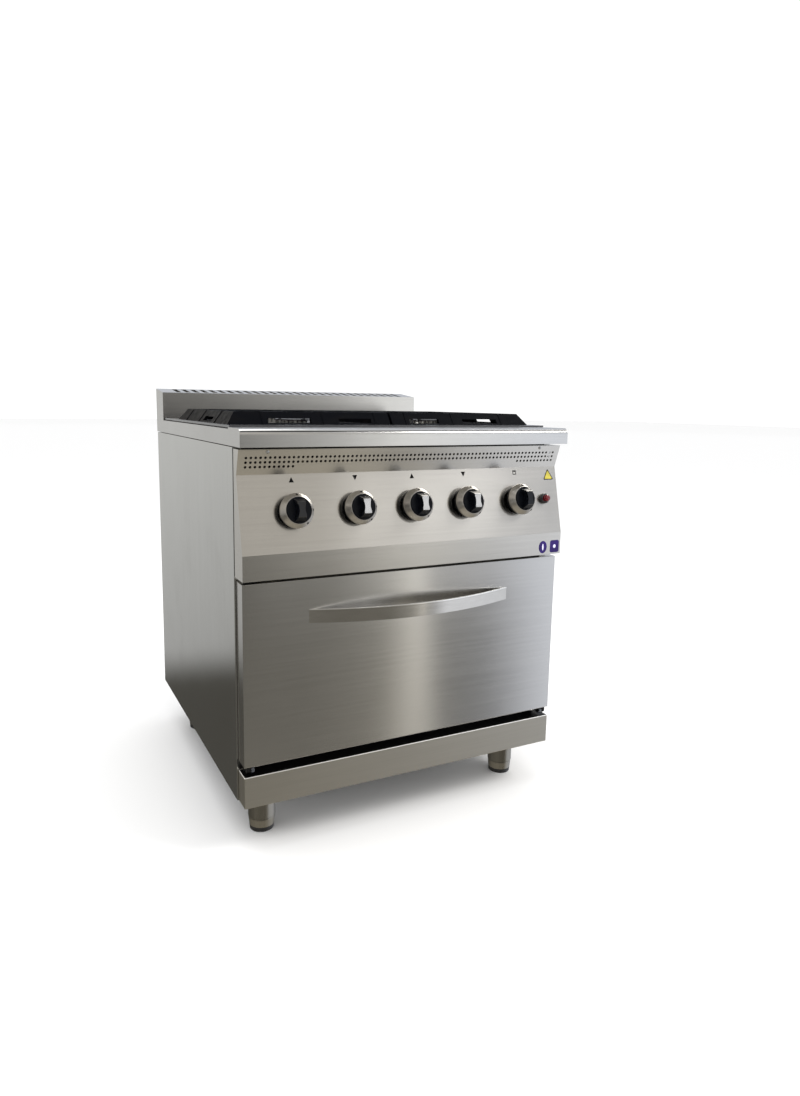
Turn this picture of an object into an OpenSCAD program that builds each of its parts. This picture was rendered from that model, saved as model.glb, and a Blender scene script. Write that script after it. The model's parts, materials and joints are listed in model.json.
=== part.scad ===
// Free-standing commercial gas range: open-burner hob over a gas oven with a
// drop-down door, on adjustable legs. Millimetres, +Z up, front towards -Y.
// Depths (the y values below) are measured back from the front of the hob apron.

/* [Body] */
// Overall width, over the hob
width = 800; // [700:10:900]
// Depth from the hob apron to the back of the flue
depth = 850; // [800:10:950]
// Height of the hob's front edge above the floor
hob_height = 900; // [900:5:920]
// Underside of the cabinet above the floor
leg_height = 107.5; // [100:0.5:112]
// Sheet thickness of the cabinet
sheet = 1.5; // [1:0.1:1.5]

/* [Hob] */
// Height of the apron that hangs round the hob
apron_height = 36.5; // [30:0.5:38]
// Depth of the raised nose along the front of the hob
nose_depth = 82; // [60:1:84]
// Radius of the nose's front edge
nose_radius = 12; // [6:1:16]
// Height of the drip tray's rim above the hob deck
tray_rise = 7; // [5:0.5:7]
// Depth of the two wells below the rim
well_depth = 24; // [18:1:26]
// Distance of each burner from the middle, sideways
burner_x = 185; // [180:1:190]
// Centres of the front and rear burners
burner_y = [268, 484];
// Outer radius of a burner crown
crown_r = 50; // [44:1:52]
// Flame slots round a crown
crown_slots = 30; // [20:2:36]

/* [Trivets] */
// Height of a trivet
trivet_height = 27; // [26:1:34]
// How far its flanks flare out towards the feet
trivet_flare = 20; // [12:1:20]
// Front and back of a trivet's feet
trivet_y = [140, 612];
// Width of its bars and fingers
bar_w = 9; // [7:0.5:10]

/* [Flue] */
// Depth of the flue upstand
flue_depth = 96; // [80:1:100]
// Height of its front face
flue_front_z = 974; // [950:1:1000]
// Height of its back edge
flue_back_z = 985.5; // [975:0.5:1020]
// Slots in its sloping top
flue_slots = 28; // [20:1:29]
// Width of a slot
flue_slot_w = 13; // [8:1:14]

/* [Control panel] */
// Corners of the panel from top to bottom, as depth and height
panel_path = [[21.6, 858.8], [39.2, 806.8], [3.3, 649.8], [3.3, 597.2]];
// Middles of the four hob knobs and the oven knob, left to right
knob_x = [-283, -140, -2, 132, 275.4];
// Distance of the knob axes below the panel's upper fold
knob_drop = 77.5; // [70:0.5:85]
// Middle of the ignition button
button_x = 353.5; // [345:0.5:358]
// Pitch of the ventilation holes
vent_pitch = 10; // [10:0.5:14]
// Radius of a ventilation hole
vent_r = 2.8; // [2:0.1:3]
// Distances of the vent rows below the panel's top edge
vent_rows = [18, 28, 38];
// Holes at each end of the lowest vent row
vent_short_row = 11; // [6:1:20]

/* [Knobs] */
// Radius of the satin ring
ring_r = 36; // [34:0.5:40]
// Radius of the black cap inside the ring
cap_r = 27; // [24:0.5:28]
// Front of the grip above the panel
grip_front = 53; // [48:1:54]

/* [Oven] */
// Front of the door's outer skin
door_y = 16.8; // [14:0.1:18]
// Bottom and top of the door
door_z = [199.4, 588.6];
// Half the width of the door and plinth
front_half = 394.5; // [392:0.5:395]
// Thickness of the door
door_thickness = 41.2; // [38:0.1:41.2]
// Height and depth of the hinge axis under the door
hinge = [28, 190];
// Half the width of the oven cavity
cavity_half = 300; // [280:5:305]
// Back of the oven cavity
cavity_back = 700; // [650:10:700]
// Bottom and top of the oven cavity
cavity_z = [222, 560];
// Height of the shelf's frame
shelf_z = 402; // [402:1:402]

/* [Handle] */
// Length of the bowed handle
handle_length = 503; // [400:1:560]
// Height of its flat bar
handle_height = 29; // [20:1:32]
// Thickness of the bar
handle_bar = 5; // [4:0.5:6]
// How far it bows out from the door
handle_reach = 48; // [46:1:56]
// Middle of the bar above the floor
handle_z = 509; // [480:1:530]

/* [Plinth and legs] */
// Top of the plinth panel
plinth_top = 177.4; // [170:0.2:178]
// Legs from the middle, sideways
leg_x = 326; // [300:1:340]
// Depths of the front and rear legs
leg_y = [119, 716];
// Radius of a leg sleeve
leg_r = 30.5; // [28:0.5:32]
// Height of the adjustable foot below its sleeve
foot_height = 31; // [26:1:34]

/* [Hidden] */

// Cabinet
half = width / 2;
side_x = half - 2;
side_y = [61, depth - 2];
apron_bottom = hob_height - apron_height;
side_top = apron_bottom - 2;
base_z = leg_height;
flange = 18;
front_y = door_y - handle_reach;
mid_y = (front_y + depth) / 2;
flue_y = depth - flue_depth;
back_y = depth - 43.5;

// Hob levels, upwards: deck, tray rim, trivet top
deck_z = hob_height - 3;
rim_z = deck_z + tray_rise;
well_z = rim_z - well_depth;
trivet_top = rim_z + trivet_height;
tray_x = half - 4;
tray_y = [nose_depth + 6, flue_y - 6];
well_x = [20, 368];
well_y = [trivet_y[0] + 16, trivet_y[1] - 16];
crown_z = [884, 911];
cup_z = 862;
tube_r = 14;
tube_z = 845;
tube_mouth_y = 120;
tube_side = 32;

// Control panel: tilt of its upper strip and of the knob face
strip_tilt = atan((panel_path[1][0] - panel_path[0][0]) / (panel_path[0][1] - panel_path[1][1]));
face_tilt = atan((panel_path[1][0] - panel_path[2][0]) / (panel_path[1][1] - panel_path[2][1]));
panel_half = half - 3;
panel_back = 58;
spindle_r = 3.95;
spindle_bore = 4;
spindle_depth = 24;
tap_front = -12;
rail_offset = -75;
rail_r = 11;
rail_y = panel_path[1][0] - knob_drop * sin(face_tilt) - rail_offset * cos(face_tilt);
rail_z = panel_path[1][1] - knob_drop * cos(face_tilt) + rail_offset * sin(face_tilt);
inlet_x = 330;
thread_r = 10.48;
feed_r = 4;

// Oven
frame_y = 66;
liner_wall = 1.2;
wool = [45, 42, 50, 36];
duct_half = 118;
duct_z = [505, 545];
oven_tube_y = 110;
oven_tube_z = 240;
oven_feed_x = 353.5;
ear_x = [372, 378];
pin_r = 5;
pin_bore = 5.05;
gap = 0.3;

// Everything is drawn in the apron's frame and moved so that the origin is
// under the middle of the whole range.
module place() {
    translate([0, -mid_y, 0]) children();
}

module both_sides() {
    children();
    mirror([1, 0, 0]) children();
}

module block(x, y, z) {
    translate([x[0], y[0], z[0]]) cube([x[1] - x[0], y[1] - y[0], z[1] - z[0]]);
}

// An outline given as depth and height, drawn out sideways from x[0] to x[1]
module profile(points, x) {
    translate([x[0], 0, 0]) rotate([90, 0, 90]) linear_extrude(x[1] - x[0]) polygon(points);
}

module rod(a, b, r) {
    v = b - a;
    translate(a) rotate([0, acos(v[2] / norm(v)), atan2(v[1], v[0])])
        cylinder(h = norm(v), r = r, $fn = 32);
}

// Rods from point to point, with a ball joint a little larger at each bend
module pipe(points, r) {
    for (i = [0 : len(points) - 2]) rod(points[i], points[i + 1], r);
    for (i = [1 : len(points) - 2]) translate(points[i]) sphere(r = r * 1.2, $fn = 32);
}

// Knob face of the panel: +Z out of it and +Y up it
module on_face(x, drop) {
    translate([x, panel_path[1][0] - drop * sin(face_tilt), panel_path[1][1] - drop * cos(face_tilt)])
        rotate([90 - face_tilt, 0, 0]) children();
}

// Vent strip of the panel, set the same way
module on_strip(x, drop) {
    translate([x, panel_path[0][0] + drop * sin(strip_tilt), panel_path[0][1] - drop * cos(strip_tilt)])
        rotate([90 + strip_tilt, 0, 0]) children();
}

// A point given on the knob face, as a place in the range
function face_point(x, up, out) = [
    x,
    panel_path[1][0] - knob_drop * sin(face_tilt) + up * sin(face_tilt) - out * cos(face_tilt),
    panel_path[1][1] - knob_drop * cos(face_tilt) + up * cos(face_tilt) + out * sin(face_tilt)
];

// A tray-shaped sheet in the front of the range, open at its back
module front_tray(y, z, back, t) {
    difference() {
        block([-front_half, front_half], [y, back], z);
        block([-front_half + t, front_half - t], [y + t, back + 1], [z[0] + t, z[1] - t]);
    }
}

// ---- Cabinet ----

module side_panel() {
    inner = side_x - sheet;
    block([inner, side_x], side_y, [base_z, side_top]);
    block([side_x - flange, inner], [side_y[0], side_y[0] + sheet], [base_z + sheet, side_top]);
    block([side_x - flange, inner], [side_y[1] - sheet, side_y[1]], [base_z + sheet, side_top]);
    block([side_x - flange, inner], [side_y[0] + sheet, side_y[1] - sheet], [side_top - sheet, side_top]);
}

module side_panel_right() {
    color("silver") place() side_panel();
}

module side_panel_left() {
    color("silver") place() mirror([1, 0, 0]) side_panel();
}

// Rear sheet with two rows of cooling slots and a hole for the gas pipe
module back_panel() {
    slot_w = 10;
    color("gainsboro") place() difference() {
        block([-side_x + sheet, side_x - sheet], [back_y, back_y + sheet], [base_z + sheet, side_top - sheet]);
        for (x = [-220 : 40 : 220], z = [150, 680])
            block([x - slot_w / 2, x + slot_w / 2], [back_y - 1, back_y + sheet + 1], [z, z + 70]);
        translate([inlet_x, back_y - 1, rail_z]) rotate([-90, 0, 0]) cylinder(h = sheet + 2, r = 14, $fn = 48);
    }
}

// Floor of the cabinet with its front edge turned up behind the plinth
module base_pan() {
    inner = side_x - sheet;
    color("silver") place() {
        block([-inner, inner], [side_y[0], side_y[1] - 30], [base_z, base_z + sheet]);
        block([-inner + flange, inner - flange], [side_y[0], side_y[0] + sheet], [base_z + sheet, plinth_top + 2]);
    }
}

module plinth_panel() {
    color("silver") place() front_tray(door_y, [base_z, plinth_top], 59, sheet);
}

module leg_sleeves() {
    sleeve_bottom = foot_height + 1;
    plug_top = sleeve_bottom + 10;
    color("silver") place() for (x = [-leg_x, leg_x], y = leg_y) translate([x, y, 0]) difference() {
        union() {
            translate([0, 0, sleeve_bottom]) cylinder(h = base_z - sleeve_bottom, r = leg_r, $fn = 64);
            translate([-42, -42, base_z - 3]) cube([84, 84, 3]);
        }
        translate([0, 0, plug_top]) cylinder(h = base_z - 3 - plug_top, r = leg_r - 2, $fn = 64);
        translate([0, 0, sleeve_bottom - 1]) cylinder(h = 20, r = 8.1, $fn = 48);
    }
}

// Adjustable foot on its threaded stud
module foot(x, y) {
    color("dimgray") place() translate([x, y, 0]) {
        rotate_extrude($fn = 64) polygon([
            [0, 0], [26, 0], [27, 1], [27, 8], [27.6, 8], [leg_r - 1, foot_height - 3],
            [leg_r - 1, foot_height], [0, foot_height]
        ]);
        translate([0, 0, foot_height]) cylinder(h = 64, r = 8, $fn = 48);
    }
}

module foot_front_left() {
    foot(-leg_x, leg_y[0]);
}

module foot_front_right() {
    foot(leg_x, leg_y[0]);
}

module foot_rear_left() {
    foot(-leg_x, leg_y[1]);
}

module foot_rear_right() {
    foot(leg_x, leg_y[1]);
}

// ---- Hob ----

// Section of the raised nose: a rounded front edge that drops to the deck
function nose_outline(inset) = concat(
    [[inset, apron_bottom]],
    [for (a = [180 : -10 : 90])
        [nose_radius + (nose_radius - inset) * cos(a), hob_height - nose_radius + (nose_radius - inset) * sin(a)]],
    [[nose_depth - inset, hob_height - inset], [nose_depth - inset, apron_bottom]]
);

// Surround of the hob: nose, deck with one large opening, and aprons
module hob_top() {
    inner = half - sheet;
    color("silver") place() {
        difference() {
            profile(nose_outline(0), [-half, half]);
            profile(nose_outline(sheet), [-inner, inner]);
            block([-inner, inner], [sheet, nose_depth + 1], [apron_bottom - 1, deck_z - sheet]);
        }
        block([-inner, inner], [sheet, 14], [apron_bottom, apron_bottom + sheet]);
        both_sides() block([inner, half], [nose_depth, flue_y - sheet], [apron_bottom, deck_z]);
        both_sides() block([inner - 10, inner], [14, flue_y - sheet], [apron_bottom, apron_bottom + sheet]);
        difference() {
            block([-inner, inner], [nose_depth - 1, flue_y - sheet], [deck_z - sheet, deck_z]);
            block([-well_x[1] - 4, well_x[1] + 4], [well_y[0] - 4, well_y[1] + 4], [deck_z - 3, deck_z + 1]);
        }
    }
}

// Lift-out tray with a well under each trivet and a collar round each burner
module drip_tray() {
    skirt = 10;
    rim_t = sheet;
    collar = [crown_r + 1, crown_r + 3];
    color("dimgray") place() {
        difference() {
            block([-tray_x, tray_x], tray_y, [deck_z + 2.5, rim_z]);
            block([-tray_x + rim_t, tray_x - rim_t], [tray_y[0] + rim_t, tray_y[1] - rim_t], [deck_z, rim_z - rim_t]);
            both_sides() block(well_x, well_y, [deck_z, rim_z + 1]);
        }
        difference() {
            block([-tray_x + skirt, tray_x - skirt], [tray_y[0] + skirt, tray_y[1] - skirt], [deck_z, rim_z - rim_t]);
            block([-tray_x + skirt + sheet, tray_x - skirt - sheet],
                [tray_y[0] + skirt + sheet, tray_y[1] - skirt - sheet], [deck_z - 1, rim_z]);
        }
        both_sides() difference() {
            union() {
                difference() {
                    block([well_x[0] - sheet, well_x[1] + sheet], [well_y[0] - sheet, well_y[1] + sheet],
                        [well_z - sheet, rim_z - rim_t]);
                    block(well_x, well_y, [well_z, rim_z]);
                }
                for (y = burner_y) translate([burner_x, y, well_z]) cylinder(h = 6, r = collar[1], $fn = 64);
            }
            for (y = burner_y) translate([burner_x, y, well_z - 5]) cylinder(h = 20, r = collar[0], $fn = 64);
        }
    }
}

// Frustum between the feet and the top of a trivet, drawn in by inset
module trivet_body(inset) {
    thin = 0.01;
    hull() {
        block([3 + inset, well_x[1] + 18 - inset], [trivet_y[0] + inset, trivet_y[1] - inset],
            [rim_z - (inset > 0 ? thin : 0), rim_z + thin]);
        block([3 + inset, well_x[1] + 18 - trivet_flare - inset],
            [trivet_y[0] + trivet_flare + inset, trivet_y[1] - trivet_flare - inset],
            [trivet_top - thin, trivet_top + (inset > 0 ? thin : 0)]);
    }
}

module finger(angle, from, to) {
    rotate([0, 0, angle]) translate([from, -bar_w / 2, 0]) cube([to - from, bar_w, trivet_height - 17]);
}

// Thin raised ribs on the outside of a trivet's flanks
module trivet_ribs() {
    proud = 1.5;
    half_rib = 1.2;
    intersection() {
        trivet_body(-proud);
        union() {
            for (x = [40, 168, 308])
                block([x - half_rib, x + half_rib], [trivet_y[0] - proud, trivet_y[0] + trivet_flare + bar_w / 2],
                    [rim_z, trivet_top]);
            for (y = [250, 390, 520])
                block([half - 60, half], [y - half_rib, y + half_rib], [rim_z, trivet_top]);
        }
    }
}

// Cast trivet: flared flanks, a crossbar and fingers over each burner; low openings in front and at the side
module trivet() {
    bar_z = rim_z + 17;
    mid = (burner_y[0] + burner_y[1]) / 2;
    arch_z = [rim_z + 3, rim_z + 13];
    difference() {
        union() {
            trivet_body(0);
            trivet_ribs();
        }
        trivet_body(bar_w);
        for (a = [[50, 130], [196, 296]]) block(a, [trivet_y[0] - 2, mid - 100], arch_z);
        block([(well_x[0] + well_x[1]) / 2, half], [284, 360], arch_z);
    }
    block([5, well_x[1] - 4], [mid - bar_w / 2, mid + bar_w / 2], [bar_z, trivet_top]);
    for (y = burner_y) translate([burner_x, y, bar_z]) {
        for (a = [0, 180]) finger(a, 42, 176);
        for (a = [90, 270]) finger(a, 42, 106);
        for (a = [40, 140, 220, 320]) finger(a, 62, 161);
    }
}

module trivet_right() {
    color("#23252b") place() trivet();
}

module trivet_left() {
    color("#23252b") place() mirror([1, 0, 0]) trivet();
}

// Ring of the burner with flame slots round its upper edge
module crown(x, y) {
    wall = 16;
    color("gainsboro") place() translate([x, y, 0]) difference() {
        translate([0, 0, crown_z[0]]) cylinder(h = crown_z[1] - crown_z[0], r = crown_r, $fn = 64);
        translate([0, 0, crown_z[0] - 1]) cylinder(h = 40, r = crown_r - wall, $fn = 64);
        for (i = [0 : crown_slots - 1]) rotate([0, 0, i * 360 / crown_slots])
            translate([crown_r - wall - 2, -1.5, crown_z[1] - 9]) cube([wall + 4, 3, 10]);
    }
}

module crown_front_left() {
    crown(-burner_x, burner_y[0]);
}

module crown_rear_left() {
    crown(-burner_x, burner_y[1]);
}

module crown_front_right() {
    crown(burner_x, burner_y[0]);
}

module crown_rear_right() {
    crown(burner_x, burner_y[1]);
}

// Lid of the burner, held in the crown by the ring under it
module cap(x, y) {
    r = crown_r + 2;
    inner = crown_r - 17;
    color("#2c2c2e") place() translate([x, y, crown_z[1]]) {
        rotate_extrude($fn = 64) polygon([[0, 0], [r, 0], [r, 2], [r - 4, 4.6], [0, 5.6]]);
        translate([0, 0, -6]) difference() {
            cylinder(h = 6.5, r = inner, $fn = 64);
            translate([0, 0, -1]) cylinder(h = 7, r = inner - 4, $fn = 64);
        }
    }
}

module cap_front_left() {
    cap(-burner_x, burner_y[0]);
}

module cap_rear_left() {
    cap(-burner_x, burner_y[1]);
}

module cap_front_right() {
    cap(burner_x, burner_y[0]);
}

module cap_rear_right() {
    cap(burner_x, burner_y[1]);
}

// Cup under a crown, on an elbow with a tube to the front where gas and air meet
module mixing_tube(y, side) {
    x = burner_x + side;
    mouth_r = 19;
    elbow = tube_r + 2;
    bore = tube_r - 3;
    difference() {
        union() {
            translate([burner_x, y, cup_z]) cylinder(h = crown_z[0] - cup_z, r = crown_r - 4, $fn = 64);
            block([x - elbow, x + elbow], [y - elbow, y + elbow], [tube_z - elbow + 2, cup_z + 1]);
            rod([x, tube_mouth_y + 10, tube_z], [x, y - 5, tube_z], tube_r);
            translate([x, tube_mouth_y, tube_z]) rotate([-90, 0, 0])
                cylinder(h = 24, r1 = mouth_r, r2 = tube_r - 1, $fn = 48);
        }
        translate([burner_x, y, cup_z + 3]) cylinder(h = 30, r = crown_r - 8, $fn = 64);
        rod([x, tube_mouth_y - 1, tube_z], [x, y + 2, tube_z], bore);
        translate([x, y, tube_z]) cylinder(h = 25, r = bore - 2, $fn = 48);
    }
}

module mixing_tubes() {
    color("darkgray") place() both_sides() {
        mixing_tube(burner_y[0], tube_side);
        mixing_tube(burner_y[1], -tube_side);
    }
}

// Two cross channels that carry the mixing tubes
module burner_supports() {
    inner = side_x - sheet;
    top = tube_z - tube_r;
    color("darkgray") place() for (y = burner_y) difference() {
        block([-inner, inner], [y - 14, y + 14], [top - 14, top]);
        block([-inner - 1, inner + 1], [y - 12, y + 12], [top - 15, top - 2]);
    }
}

// ---- Flue ----

// Hollow upstand with a sloping, slotted top
module flue_housing() {
    x = half - 1;
    outline = [[flue_y, apron_bottom], [flue_y, flue_front_z], [depth, flue_back_z], [depth, apron_bottom]];
    hollow = [
        [flue_y + sheet, apron_bottom - 1], [flue_y + sheet, flue_front_z - sheet + 0.2],
        [depth - sheet, flue_back_z - sheet - 0.2], [depth - sheet, apron_bottom - 1]
    ];
    pitch = (width - 98) / (flue_slots - 1);
    color("silver") place() difference() {
        profile(outline, [-x, x]);
        profile(hollow, [-x + sheet, x - sheet]);
        for (i = [0 : flue_slots - 1]) {
            mid = (i - (flue_slots - 1) / 2) * pitch;
            block([mid - flue_slot_w / 2, mid + flue_slot_w / 2], [flue_y + 12, depth - 12],
                [flue_front_z - 8, flue_back_z + 1]);
        }
    }
}

// Duct from the back of the oven up into the flue
module flue_duct() {
    t = 1;
    riser_y = [flue_y + 4, back_y - 3];
    color("darkgray") place() difference() {
        union() {
            block([-duct_half, duct_half], riser_y, [duct_z[0] - 6, flue_front_z - 60]);
            block([-duct_half, duct_half], [cavity_back + liner_wall + gap, riser_y[0] + 1], duct_z);
        }
        block([-duct_half + t, duct_half - t], [riser_y[0] + t, riser_y[1] - t], [duct_z[0] - 6 + t, flue_front_z]);
        block([-duct_half + t, duct_half - t], [cavity_back, riser_y[0] + 5], [duct_z[0] + t, duct_z[1] - t]);
    }
}

// ---- Control panel ----

module vent_hole(x, drop) {
    on_strip(x, drop) translate([0, 0, -10]) cylinder(h = 20, r = vent_r, $fn = 16);
}

// One folded sheet: vent strip, knob face and lip, with closed ends
module control_panel() {
    inner = panel_half - sheet;
    shift = [sheet * 1.04, 0];
    p = panel_path;
    vent_half = panel_half - 17;
    skin = concat(p, [p[3] + shift, p[2] + shift, p[1] + shift, p[0] + shift]);
    color("silver") place() difference() {
        union() {
            profile(skin, [-panel_half, panel_half]);
            profile([p[0], [panel_back, p[0][1]], [panel_back, p[0][1] - sheet], p[0] + [0.4, -sheet]],
                [-panel_half, panel_half]);
            profile([p[3], [panel_back, p[3][1]], [panel_back, p[3][1] + sheet], p[3] + [0, sheet]],
                [-panel_half, panel_half]);
            both_sides() profile(concat(p, [[panel_back, p[3][1]], [panel_back, p[0][1]]]), [inner, panel_half]);
        }
        for (drop = [vent_rows[0], vent_rows[1]], x = [-vent_half : vent_pitch : vent_half]) vent_hole(x, drop);
        for (i = [0 : vent_short_row - 1], side = [-1, 1])
            vent_hole(side * (vent_half - i * vent_pitch), vent_rows[2]);
        for (x = knob_x) on_face(x, knob_drop) translate([0, 0, -20]) cylinder(h = 30, r = 6, $fn = 48);
        on_face(button_x, knob_drop) translate([0, 0, -20]) cylinder(h = 30, r = 9.2, $fn = 48);
    }
}

// Black knob: skirt, cap and an upright grip, waisted and with sloping flanks
module knob(x) {
    grip = [[-12.5, 30], [12.5, 30], [8, grip_front], [-8, grip_front]];
    grip_side = [[-cap_r + 1.5, 30], [cap_r - 1.5, 30], [15, grip_front], [-15, grip_front]];
    waist = 6.2;
    scallop_r = 30;
    color("#15161a") place() on_face(x, knob_drop) difference() {
        union() {
            rotate_extrude($fn = 96) polygon([
                [0, 6], [ring_r - 3.4, 6], [ring_r - 2.8, 7], [ring_r - 2.8, 20], [cap_r, 30.4],
                [cap_r, 33.5], [cap_r - 1.5, 35], [0, 35]
            ]);
            intersection() {
                rotate([90, 0, 0]) translate([0, 0, -40]) linear_extrude(80) polygon(grip);
                rotate([90, 0, 90]) translate([0, 0, -40]) linear_extrude(80) polygon(grip_side);
            }
        }
        translate([0, 0, 5]) cylinder(h = 19, r = spindle_bore, $fn = 48);
        for (side = [-1, 1]) translate([side * (waist + scallop_r), 0, 35.4])
            cylinder(h = grip_front, r = scallop_r, $fn = 96);
    }
}

module knob_1() {
    knob(knob_x[0]);
}

module knob_2() {
    knob(knob_x[1]);
}

module knob_3() {
    knob(knob_x[2]);
}

module knob_4() {
    knob(knob_x[3]);
}

module knob_oven() {
    knob(knob_x[4]);
}

// Satin metal ring pressed on to the knob's shoulder
module ring(x) {
    color("gainsboro") place() on_face(x, knob_drop) rotate_extrude($fn = 96) polygon([
        [ring_r - 2.6, 17], [ring_r, 17], [ring_r, 21], [cap_r + 1.5, 32.6], [cap_r + 0.2, 32.6],
        [cap_r + 0.2, 30.5], [ring_r - 2.6, 20.1]
    ]);
}

module ring_1() {
    ring(knob_x[0]);
}

module ring_2() {
    ring(knob_x[1]);
}

module ring_3() {
    ring(knob_x[2]);
}

module ring_4() {
    ring(knob_x[3]);
}

module ring_oven() {
    ring(knob_x[4]);
}

module spindle(x) {
    color("khaki") place() on_face(x, knob_drop) translate([0, 0, -spindle_depth])
        cylinder(h = spindle_depth + 23.5, r = spindle_r, $fn = 48);
}

module spindle_1() {
    spindle(knob_x[0]);
}

module spindle_2() {
    spindle(knob_x[1]);
}

module spindle_3() {
    spindle(knob_x[2]);
}

module spindle_4() {
    spindle(knob_x[3]);
}

module spindle_oven() {
    spindle(knob_x[4]);
}

// Brass tap clamped on the gas rail, with its outlet upwards
module tap(x, body_r) {
    on_face(x, knob_drop) difference() {
        union() {
            translate([0, 0, -58]) cylinder(h = 58 + tap_front, r = body_r, $fn = 48);
            translate([0, 0, -26]) cylinder(h = 8, r = body_r + 4, $fn = 6);
            translate([-17, -15, rail_offset]) cube([34, 30, 20]);
            translate([0, 0, -45]) rotate([-90, 0, 0]) cylinder(h = 30, r = 7, $fn = 32);
        }
        translate([0, 0, -30]) cylinder(h = 40, r = spindle_bore, $fn = 48);
        translate([-20, 0, rail_offset]) rotate([0, 90, 0]) cylinder(h = 40, r = rail_r + 0.1, $fn = 48);
        translate([0, 28, -45]) rotate([-90, 0, 0]) cylinder(h = 5, r = feed_r + 0.1, $fn = 32);
    }
}

module hob_taps() {
    color("goldenrod") place() for (i = [0 : 3]) tap(knob_x[i], 13);
}

module oven_thermostat() {
    color("darkgoldenrod") place() {
        tap(knob_x[4], 16);
        on_face(knob_x[4], knob_drop) translate([-24, -42, -62]) cube([48, 25, 34]);
    }
}

// Gas rail behind the taps, its inlet at the back, and the feed to each burner
module gas_rail() {
    tubes = [-(burner_x + tube_side), -(burner_x - tube_side), burner_x - tube_side, burner_x + tube_side];
    oven = face_point(knob_x[4], 29, -45);
    inlet_y = back_y + 5;
    color("tan") place() {
        pipe([[-310, rail_y, rail_z], [inlet_x, rail_y, rail_z], [inlet_x, inlet_y, rail_z]], rail_r);
        translate([inlet_x, inlet_y, rail_z]) rotate([-90, 0, 0]) {
            cylinder(h = 12, r = 16, $fn = 6);
            cylinder(h = depth - 5 - inlet_y, r = thread_r, $fn = 48);
        }
        for (i = [0 : 3]) {
            tap_top = face_point(knob_x[i], 29, -45);
            pipe([tap_top, [knob_x[i], 84, 790], [tubes[i], 84, tube_z], [tubes[i], tube_mouth_y - 6, tube_z]], feed_r);
        }
        pipe([oven, [knob_x[4], 84, 775], [340, 125, 775], [oven_feed_x, 125, 755],
            [oven_feed_x, oven_tube_y, oven_tube_z], [oven_feed_x - 5.7, oven_tube_y, oven_tube_z]], feed_r);
    }
}

// Red push button of the igniter
module igniter_button() {
    color("crimson") place() on_face(button_x, knob_drop) rotate_extrude($fn = 64) polygon([
        [0, -12], [6, -12], [6, 3], [7.6, 3], [7.6, 16], [6.6, 18.4], [4, 19.8], [0, 20.2]
    ]);
}

// Igniter barrel behind the panel with its collar in front
module igniter_body() {
    color("#1c1c1c") place() on_face(button_x, knob_drop) difference() {
        union() {
            translate([0, 0, -46]) cylinder(h = 46, r = 9, $fn = 48);
            rotate_extrude($fn = 64) polygon([[0, 0], [12.2, 0], [12.2, 7], [11, 9.5], [0, 9.5]]);
        }
        translate([0, 0, -3]) cylinder(h = 20, r = 8, $fn = 48);
        translate([0, 0, -20]) cylinder(h = 20, r = 6.3, $fn = 48);
    }
}

// ---- Oven ----

// Cavity with its front frame, the duct opening and the ears of the hinge
module oven_liner() {
    w = liner_wall;
    back = cavity_back;
    color("dimgray") place() difference() {
        union() {
            block([-cavity_half - w, cavity_half + w], [frame_y, back + w], [cavity_z[0] - w, cavity_z[1] + w]);
            block([-392, 392], [frame_y, frame_y + sheet], [plinth_top + 4.6, panel_path[3][1] - 1.2]);
            both_sides() {
                block(ear_x, [hinge[0], frame_y + 1], [hinge[1] - 6, hinge[1] + 6]);
                translate([ear_x[0], hinge[0], hinge[1]]) rotate([0, 90, 0])
                    cylinder(h = ear_x[1] - ear_x[0], r = 8, $fn = 48);
            }
        }
        block([-cavity_half, cavity_half], [frame_y - 1, back], cavity_z);
        block([-duct_half + 3, duct_half - 3], [back - 1, back + 5], [duct_z[0] + 3, duct_z[1] - 3]);
        translate([cavity_half - 5, oven_tube_y, oven_tube_z]) rotate([0, 90, 0]) cylinder(h = 10, r = 13, $fn = 48);
        both_sides() translate([ear_x[0] - 1, hinge[0], hinge[1]]) rotate([0, 90, 0])
            cylinder(h = 8, r = pin_bore, $fn = 48);
    }
}

// Blanket round the cavity
module oven_insulation() {
    inner = cavity_half + liner_wall + gap;
    back = cavity_back + liner_wall + gap;
    front = frame_y + sheet + gap;
    color("khaki") place() difference() {
        block([-inner - wool[0], inner + wool[0]], [front, back + wool[1]],
            [cavity_z[0] - wool[3], cavity_z[1] + wool[2]]);
        block([-inner, inner], [front - 1, back], [cavity_z[0] - liner_wall - gap, cavity_z[1] + liner_wall + gap]);
        block([-duct_half - 1, duct_half + 1], [back - 1, back + 60], [duct_z[0] - 1, duct_z[1] + 1]);
        translate([inner - 5, oven_tube_y, oven_tube_z]) rotate([0, 90, 0]) cylinder(h = 80, r = 14, $fn = 48);
    }
}

// Cast floor of the oven over the burner, on side skirts
module sole_plate() {
    x = cavity_half - 3;
    y = [78, cavity_back - 3];
    z = [cavity_z[0], cavity_z[0] + 40];
    color("#303034") place() difference() {
        union() {
            block([-x, x], y, [z[1] - 4, z[1]]);
            both_sides() block([x - 3, x], y, z);
        }
        for (i = [0 : 11]) both_sides() block([x - 40, x - 14], [110 + i * 48, 140 + i * 48], [z[1] - 5, z[1] + 1]);
        translate([x - 5, oven_tube_y, oven_tube_z]) rotate([0, 90, 0]) cylinder(h = 10, r = 13, $fn = 48);
    }
}

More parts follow.
